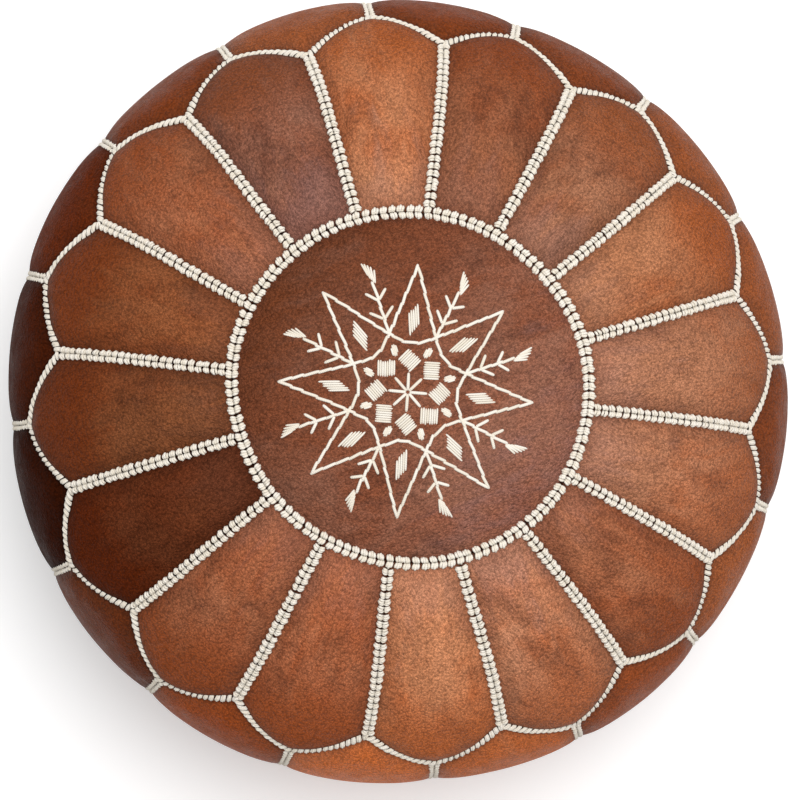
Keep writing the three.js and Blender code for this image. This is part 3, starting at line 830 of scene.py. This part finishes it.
def back_stitches(points, stitch):
    """Back stitches along a plan line, each one's two ends, a little unequal and not quite in line."""
    steps = lengths_along(points)
    count = max(1, round(steps[-1] / stitch))
    where = np.linspace(0, steps[-1], count + 1)
    where[1:-1] += rng.normal(0, 0.13 * stitch, count - 1)
    knots = sampled(where, steps, points)
    along = unit(np.diff(knots, axis=0))
    aside = turned_by(along, math.pi / 2) * rng.normal(0.42, 0.12, (count, 1)) * MM
    overlap = along * 1.1 * MM
    return np.stack([knots[:-1] - overlap - aside, knots[1:] + overlap + aside], 1)


def satin(centre, length, width, count, stagger=0.0, pointed=0.0, fan=0.0, direction=0.0):
    """Parallel stitches along a direction, each one's two ends, as counted across the width."""
    rows = []
    for i in range(count):
        across = i / (count - 1) - 0.5
        reach = length * (1 - pointed * (2 * across) ** 2) * rng.normal(1, 0.035) / 2
        shift = stagger * across + rng.normal(0, 0.02) * length
        rows.append([(shift + end * reach, across * width * (1 + end * fan)) for end in (-1, 1)])
    return turned_rows(rows, direction) + centre


def polar(radius, angle):
    return radius * np.array([math.cos(angle), math.sin(angle)])


def drawn_out(ends):
    """The star was marked by hand, and its tips reach a little further on one side."""
    reach = np.linalg.norm(ends, axis=-1, keepdims=True)
    towards = np.maximum(unit(ends) @ LONG_SIDE, 0)[..., None]
    return ends * (1 + LONG_BY * towards ** 2 * smoothstep(reach, 40 * MM, STAR_TIP_RADIUS) / reach)


def star_stitches():
    """Every stitch of the medallion's star as two plan points, bold ones first, then fine ones."""
    bold, fine = [], []
    reach = STAR_TIP_RADIUS / math.sqrt(2)
    y = np.linspace(-reach, reach, 61)
    arm = np.stack([STAR_WAIST + np.hypot(STAR_ROUND, y / 2), y], -1)
    for k in range(STAR_TIPS):
        facing = STAR_TURN + k * 2 * math.pi / STAR_TIPS
        between = facing + math.pi / STAR_TIPS
        bold.append(back_stitches(turned_by(arm, facing), 7.8 * MM))
        bold.append(turned_rows([[[0.6 * MM, 0.0], [12.4 * MM, 0.0]]], facing + rng.normal(0.03, 0.02)))
        slope = facing - math.pi / 4 + rng.normal(0.04, 0.03)
        fine.append(satin(polar(19.6 * MM, facing + 0.03), 10.6 * MM, 9.6 * MM, 8, direction=slope))
        fine.append(satin(polar(26.8 * MM, between), 8.2 * MM, 3 * MM, 4, -1.4 * MM, 0.4, direction=between))
        lean = facing + rng.normal(0.10, 0.05)
        fine.append(satin(polar(44.6 * MM, facing), 14.0 * MM, 5.4 * MM, 5, -5.8 * MM, direction=lean))
        stem = np.array([[place, 0.0] for place in STEM])
        bold.append(back_stitches(turned_by(stem, between), 8.0 * MM))
        for root, twig in TWIGS:
            for side in (-1, 1):
                opening = side * math.radians(TWIG_DEGREES + rng.normal(0, 5))
                tip = polar(twig, opening) + (root, 0)
                bold.append(turned_rows([[(root - 0.4 * MM, side * 0.2 * MM), tip]], between))
        fine.append(satin(polar(74.4 * MM, between), 10.6 * MM, 4.4 * MM, 5, 5.0 * MM, 0.15, 0.45, between))
    return [drawn_out(np.concatenate(ends)) + STAR_SHIFT for ends in (bold, fine)]


def lay_on(tree, ends, thread):
    """Stitch paths on a surface: in at one end, over, and in again at the other."""
    t = np.linspace(0, 1, 9)
    plan = ends[:, :1] + (ends[:, 1:] - ends[:, :1]) * t[:, None]
    paths = np.empty(plan.shape[:2] + (3,))
    normals = np.empty_like(paths)
    rise = thread * (1.25 * arch(t, 0.4) - 0.8)
    for i, row in enumerate(plan):
        for j, (x, y) in enumerate(row):
            hit, normal = tree.ray_cast(Vector((x, y, 1.0)), Vector((0, 0, -1)))[:2]
            paths[i, j] = hit + normal * rise[j]
            normals[i, j] = normal
    return paths, normals


def make_embroidery(medallion, yarn):
    tree = BVHTree.FromObject(medallion, bpy.context.evaluated_depsgraph_get())
    bold, fine = star_stitches()
    pieces = (("star_outline", bold, 0.98 * MM, ["star_embroidery"]), ("star_satin", fine, 0.66 * MM, []))
    for name, ends, thread, nodes in pieces:
        paths, normals = lay_on(tree, ends, thread)
        profile = np.ones(paths.shape[1])
        profile[[0, -1]] = 0.6
        profile[[1, -2]] = 0.9
        obj = threads(name, paths, normals, thread * profile, sides=8, flat=0.75)
        finish_piece(obj, yarn, "cotton_braid", *nodes)


# ------ base

LOW_RADII = LINE[TURNS < 0][::-1, 0]
LOW_LENGTHS = LENGTHS[TURNS < 0][::-1]
FOOT_RADIUS = float(meridian(BASE_SEAM_TURN)[0])
SEAM_GAP = 0.15 * MM


def valley_lift(x, y):
    """How much the base is lifted over the zip."""
    across = 1 - smoothstep(np.abs(y), VALLEY_HALF_WIDTH, VALLEY_FOOT)
    along = 1 - smoothstep(np.abs(x), *VALLEY_TAPER)
    return VALLEY_LIFT * across * along


def base_point(x, y, depth):
    """A point of the base, or at a depth inside it, at this place in plan."""
    points = skin_point(np.arctan2(y, x), np.interp(np.hypot(x, y), LOW_RADII, LOW_LENGTHS), -depth)
    points[..., 2] += valley_lift(x, y)
    return points


def slot_edge(x):
    """Half the width of the zip's slot, with rounded ends, and of the seam beyond them."""
    inside = np.clip((SLOT_HALF_LENGTH - np.abs(x)) / SLOT_HALF_WIDTH, 0, 1)
    return SEAM_GAP + (SLOT_HALF_WIDTH - SEAM_GAP) * np.sqrt(1 - (1 - inside) ** 2)


def make_base():
    """Two halves of hide that meet in a seam along X, on both sides of the zip's slot."""
    u = np.linspace(0, math.pi, 161)
    rim_y = FOOT_RADIUS * np.sin(u)
    foot = np.minimum(0.5, VALLEY_FOOT / np.maximum(rim_y, VALLEY_FOOT))
    near, beyond = np.linspace(0, 1, 15)[:, None], stations(16, 0.5)[1:, None]
    along = np.concatenate([near * foot, foot + (1 - foot) * beyond])
    x = (BASE_INNER_REACH + (FOOT_RADIUS - BASE_INNER_REACH) * along) * np.cos(u)
    edge_y = slot_edge(BASE_INNER_REACH * np.cos(u))
    y = np.maximum(edge_y + (rim_y - edge_y) * along, SEAM_GAP)
    to_foot = (1 - along) * np.hypot(rim_y - edge_y, FOOT_RADIUS - BASE_INNER_REACH)
    past_slot = np.abs(x) > SLOT_HALF_LENGTH
    to_seam = np.where(past_slot, y, np.maximum(y - SLOT_HALF_WIDTH, 0) + 4 * MM)
    edge = np.minimum(to_foot, to_seam).ravel()
    points = base_point(x, y, seam_fold(to_foot) + seam_fold(np.where(past_slot, y, 1.0)))
    puckers = 0.5 * MM * np.sin(x / (9 * MM)) * np.exp(-((y - 12 * MM) / (9 * MM)) ** 2)
    points[..., 2] += puckers * smoothstep(valley_lift(x, y), 0.004, 0.010) * smoothstep(y, 0.010, 0.016)
    quads = grid_quads(np.arange(x.size).reshape(x.shape))[:, ::-1]
    for end, turn, seed in (("rear", 0.0, 41), ("front", math.pi, 42)):
        half = points.reshape(-1, 3) * np.array([math.cos(turn), math.cos(turn), 1])
        hide_piece("base_hide_" + end, "base_panel_" + end, half, quads, edge, "chestnut", 1.0, turn, seed)


# ------ zip

TAPE_HALF_LENGTH = 155 * MM
# One tape's section across and above the floor, in millimetres, with a rounded selvedge.
TAPE_SECTION = [(3.1, 13.1), (15.6, 13.1), (15.9, 13.25), (15.9, 13.6), (15.6, 13.75), (3.1, 13.75)]
COIL_PITCH = 1.7 * MM
COIL_THREAD = 0.36 * MM
# The topstitching on both sides of the slot.
TOPSTITCH_STARTS = np.arange(-148, 146, 3.7) * MM
TOPSTITCH_LENGTH = 2.8 * MM
TOPSTITCH_ROW = 10.2 * MM
TOPSTITCH_HEIGHT = 11.6 * MM
TOPSTITCH_DIP = 0.9 * MM
TOPSTITCH_THREAD = 0.34 * MM
EDGE_ROUNDING = 0.28 * MM


def prism(outline, stations_x):
    """Points and faces of a solid with one outline in Y and Z along X."""
    outline = np.asarray(outline, float) * MM
    points = np.array([[x, y, z] for x in stations_x for y, z in outline])
    index = np.arange(len(points)).reshape(-1, len(outline))
    sides = grid_quads(index, closed=True)[:, [0, 3, 2, 1]]
    return points, [sides, np.stack([index[0, ::-1], index[-1]])]


def coil_line(side):
    """The nylon monofilament of one side's coil: flat loops whose heads face the middle."""
    turns = int(2 * TAPE_HALF_LENGTH / COIL_PITCH) - 1
    angle = np.linspace(0, 2 * math.pi * turns, turns * 14 + 1)
    x = COIL_PITCH * (angle / (2 * math.pi) - turns / 2 + side / 4)
    y = side * (1.72 + 0.92 * np.cos(angle)) * MM
    z = (13.4 + 0.93 * np.sin(angle)) * MM
    return np.stack([x, y, z], -1)


def make_zip(tape, nylon, brass, stitch):
    points, faces = prism(TAPE_SECTION, np.linspace(-TAPE_HALF_LENGTH, TAPE_HALF_LENGTH, 125))
    for name, side in (("rear", 1), ("front", -1)):
        woven = make_object(f"zip_tape_woven_{name}", points * np.array([side, side, 1]), faces, smooth=False)
        finish_piece(woven, tape, "zip_nylon", f"zip_tape_{name}")
        line = coil_line(side)[None]
        coil = threads(f"zip_coil_{name}", line, np.broadcast_to([1.0, 0, 0], line.shape), COIL_THREAD)
        finish_piece(coil, nylon, "zip_nylon")
    t = np.linspace(0, 1, 7)
    x = TOPSTITCH_STARTS[:, None] + TOPSTITCH_LENGTH * t
    z = TOPSTITCH_HEIGHT - TOPSTITCH_DIP * arch(t, 0.5)
    rows = [np.stack(np.broadcast_arrays(x, y, z), -1) for y in (-TOPSTITCH_ROW, TOPSTITCH_ROW)]
    paths = np.concatenate(rows)
    seam = threads("zip_topstitch", paths, np.broadcast_to([0, 0, -1.0], paths.shape), TOPSTITCH_THREAD)
    finish_piece(seam, stitch, "zip_nylon")
    for node in ("zip_slider", "zip_pull"):
        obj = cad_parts[node]
        obj.data.materials.clear()
        obj.data.materials.append(brass)
        rounded = obj.modifiers.new("rounded_edges", "BEVEL")
        rounded.width = EDGE_ROUNDING
        rounded.segments = 3
        rounded.limit_method = "ANGLE"


# ------ lining and filling

# Half the length and width of the mouth in the cotton bag.
MOUTH = (0.203, 0.048)
# How far inside the hide the bag and the filling are, and how lumpy they are.
BAG_DEPTH = 5.4 * MM
BAG_LUMPS = 0.8 * MM
BAG_CLOTH = 0.8 * MM
FILLING_DEPTH = 7.6 * MM
FILLING_LUMPS = 3.5 * MM
FILLING_LIFT = 0.024


def mouth_radius(angle):
    """The rounded mouth of the cotton bag over the zip, as a radius at each angle."""
    x, y = np.abs(np.cos(angle)) / MOUTH[0], np.abs(np.sin(angle)) / MOUTH[1]
    return np.minimum((x ** 8 + y ** 8) ** (-1 / 8), FOOT_RADIUS - 0.004)


def bag_grid(columns, top_rows, base_rows, depth, inner):
    """Rows of points from the top centre to an inner edge on the base, at a depth inside the hide."""
    angle = np.linspace(0, 2 * math.pi, columns, endpoint=False)
    upper = np.linspace(0, 1, top_rows + 1)[1:, None] * length_at(BASE_SEAM_TURN)
    share = np.linspace(0, 1, base_rows + 1)[1:, None]
    lower = np.interp(FOOT_RADIUS + (inner(angle) - FOOT_RADIUS) * share, LOW_RADII, LOW_LENGTHS)
    lengths = np.concatenate([np.broadcast_to(upper, (top_rows, columns)), lower])
    return skin_point(np.broadcast_to(angle, lengths.shape), lengths, -depth)


def bag_mesh(name, rows, lumps, closed):
    """A skin over rows of points, capped at the top, and at the bottom if it is closed."""
    points = rows.reshape(-1, 3)
    index = np.arange(len(points)).reshape(rows.shape[:2])
    following = np.roll(index, -1, axis=1)
    caps = []
    for row, near, far in ((0, index, following), (-1, following, index))[:1 + closed]:
        caps.append(np.stack([np.full(rows.shape[1], len(points)), near[row], far[row]], -1))
        points = np.concatenate([points, [rows[row].mean(0)]])
    out = unit(points - np.array([0, 0, WAIST_HEIGHT]))
    wave = np.sin(points @ np.array([61, 23, 35.0])) * np.sin(points @ np.array([-19, 57, 41.0]) + 1)
    wave += 0.6 * np.sin(points @ np.array([97, -61, 73.0]) + 2) * np.sin(points @ np.array([45, 88, -60.0]))
    points = points - out * lumps * (1.6 + wave)[:, None] / 3.2
    return make_object(name, points, [grid_quads(index, closed=True), np.concatenate(caps)])


def make_inside(cotton, waste):
    lining = bag_mesh("lining_bag", bag_grid(160, 70, 14, BAG_DEPTH, mouth_radius), BAG_LUMPS, False)
    thicken(lining, "cloth_thickness", BAG_CLOTH)
    finish_piece(lining, cotton, "lining_cotton", "cotton_lining")
    rows = bag_grid(144, 66, 24, FILLING_DEPTH, lambda angle: np.full(angle.shape, 4 * MM))
    reach_x = 1 - smoothstep(np.abs(rows[..., 0]), MOUTH[0] - 0.012, MOUTH[0] + 0.004)
    reach_y = 1 - smoothstep(np.abs(rows[..., 1]), MOUTH[1] - 0.010, MOUTH[1] + 0.008)
    # over the zip the filling keeps clear of the slider
    low = rows[..., 2] < 0.1
    rows[..., 2] = np.where(low, np.maximum(rows[..., 2], FILLING_LIFT * reach_x * reach_y), rows[..., 2])
    filling = bag_mesh("filling", rows, FILLING_LUMPS, True)
    finish_piece(filling, waste, "filling_cotton", "stuffing")


# ------ stage

# How far the camera is turned anticlockwise from the pouf's own axes.
ROLL = math.radians(6.3)
# The softbox: its turn from the photo's right, its rise, distance, size and watts.
SOFTBOX_TURN = math.radians(66)
SOFTBOX_RISE = math.radians(79)
SOFTBOX_DISTANCE = 2.4
SOFTBOX_SIZE = 1.3
SOFTBOX_POWER = 48
ROOM_LIGHT = 0.42
FLOOR_HALF = 6.0
FLOOR_DROP = 0.5 * MM
# The camera: its lean to the left and down, its distance from the waist, its lens in millimetres.
LEAN = (math.radians(2.45), math.radians(0.42))
CAMERA_DISTANCE = 1.8
LENS = 119.25
LENS_SHIFT = -0.01125


def make_floor():
    corners = [(-1, -1, 0), (1, -1, 0), (1, 1, 0), (-1, 1, 0)]
    floor = make_object("floor", np.array(corners) * FLOOR_HALF, np.array([[0, 1, 2, 3]]))
    floor.location.z = -FLOOR_DROP
    floor.data.materials.append(Look("pale_floor").surface(
        Base_Color=(0.86, 0.86, 0.86, 1), Roughness=0.9, Specular_IOR_Level=0.1,
        Emission_Color=(1, 1, 1, 1), Emission_Strength=0.28))


def make_lights():
    """A white room and one round softbox, high up towards the photo's top edge."""
    world = bpy.data.worlds.new("studio")
    world.use_nodes = True
    background = world.node_tree.nodes["Background"]
    background.inputs["Color"].default_value = (1, 1, 1, 1)
    background.inputs["Strength"].default_value = ROOM_LIGHT
    scene.world = world
    light = bpy.data.lights.new("softbox", "AREA")
    light.shape = "DISK"
    light.size = SOFTBOX_SIZE
    light.energy = SOFTBOX_POWER
    x, y = polar(math.cos(SOFTBOX_RISE), SOFTBOX_TURN + ROLL)
    obj = bpy.data.objects.new("softbox", light)
    obj.location = Vector((x, y, math.sin(SOFTBOX_RISE))) * SOFTBOX_DISTANCE
    obj.rotation_mode = "QUATERNION"
    obj.rotation_quaternion = (Vector((0, 0, 0.15)) - obj.location).to_track_quat("-Z", "Y")
    scene.collection.objects.link(obj)
    scene.view_settings.view_transform = "Standard"


def make_camera():
    """Straight above, leaning a little so that one flank shows more than the other."""
    right = Vector((math.cos(ROLL), math.sin(ROLL), 0))
    up = Vector((-math.sin(ROLL), math.cos(ROLL), 0))
    back = (Vector((0, 0, 1)) - math.sin(LEAN[0]) * right - math.sin(LEAN[1]) * up).normalized()
    across = up.cross(back).normalized()
    camera = bpy.data.cameras.new("camera")
    camera.sensor_width = 36
    camera.lens = LENS
    camera.shift_y = LENS_SHIFT
    camera.clip_start = 0.1
    obj = bpy.data.objects.new("camera", camera)
    place = Vector((0, 0, WAIST_HEIGHT)) + back * CAMERA_DISTANCE
    turn = Matrix((across, back.cross(across), back)).transposed().to_4x4()
    obj.matrix_world = Matrix.Translation(place) @ turn
    scene.collection.objects.link(obj)
    scene.camera = obj


# ------ assembly

DYES = {"honey": "ab6f4c", "tan": "9f694c", "caramel": "945b3e",
        "rosewood": "835643", "chestnut": "7b4729", "umber": "5c2f1a"}
# The darkest hide is the dullest.
GLOSS = 0.05
UMBER_GLOSS = 0.012
LEATHERS = {tone: goatskin(f"goatskin_{tone}", rgb(dye), UMBER_GLOSS if tone == "umber" else GLOSS)
            for tone, dye in DYES.items()}

make_camera()
make_floor()
make_lights()
cream = cotton_yarn("cream_cotton", rgb("e6dfd3"))
the_cover = Cover()
top_hide = make_cover(the_cover)
make_braids(the_cover, cream)
make_embroidery(top_hide, cream)
make_base()
make_zip(woven_cloth("nylon_tape", rgb("3a2a20"), 1100, 0.6), nylon_monofilament(), zip_metal(),
         cotton_yarn("brown_thread", rgb("4a3020")))
make_inside(woven_cloth("lining_cloth", rgb("cfc4ae"), 700, 0.9), cotton_waste())
